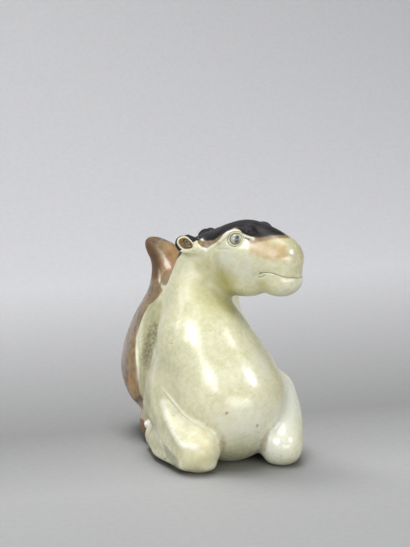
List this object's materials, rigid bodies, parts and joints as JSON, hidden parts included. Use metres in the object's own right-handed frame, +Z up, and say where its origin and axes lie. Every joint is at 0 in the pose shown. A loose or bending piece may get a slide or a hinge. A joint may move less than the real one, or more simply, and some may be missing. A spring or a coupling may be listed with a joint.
{
  "type": "carved jade camel figure",
  "caption": "Small carved stone figure of a recumbent two-humped camel with its head turned aside, resting on its folded legs.",
  "frame": {"origin": "centre of the bounding box on the plane that the figure stands on", "axes": "+Z up, -Y the way the camel's breast faces, +X the camel's left, to which the head is turned"},
  "size_m": [0.036, 0.0576, 0.056],
  "materials": {
    "jade": "polished"
  },
  "bodies": {
    "root": {"camel": "jade"}
  },
  "joints": []
}
